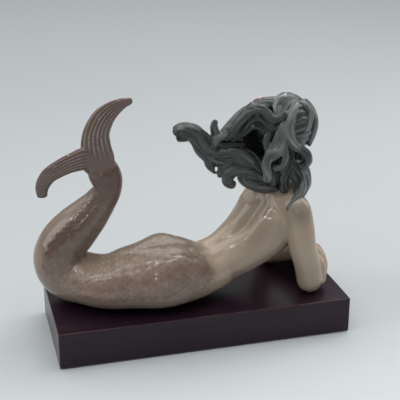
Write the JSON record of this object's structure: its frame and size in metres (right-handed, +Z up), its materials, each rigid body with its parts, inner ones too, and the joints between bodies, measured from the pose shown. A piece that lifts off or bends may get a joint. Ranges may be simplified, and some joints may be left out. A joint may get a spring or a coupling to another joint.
{
  "type": "mermaid figurine",
  "caption": "Glazed porcelain mermaid lying on her elbows with her tail raised, resting on a dark lacquered wooden plinth with a felt underlay.",
  "frame": {"origin": "centre of the underside, on the felt's lower face", "axes": "+X along the plinth from tail to head, +Y away from the side that shows her back, +Z up"},
  "size_m": [0.2918, 0.114, 0.2307],
  "materials": {
    "porcelain": "glossy glaze over painted skin, tail and hair",
    "lacquered_wood": "dark stained and lacquered",
    "felt": "matt pressed felt"
  },
  "bodies": {
    "root": {"mermaid": "porcelain", "plinth": "lacquered_wood", "felt_sheet": "felt"}
  },
  "joints": []
}
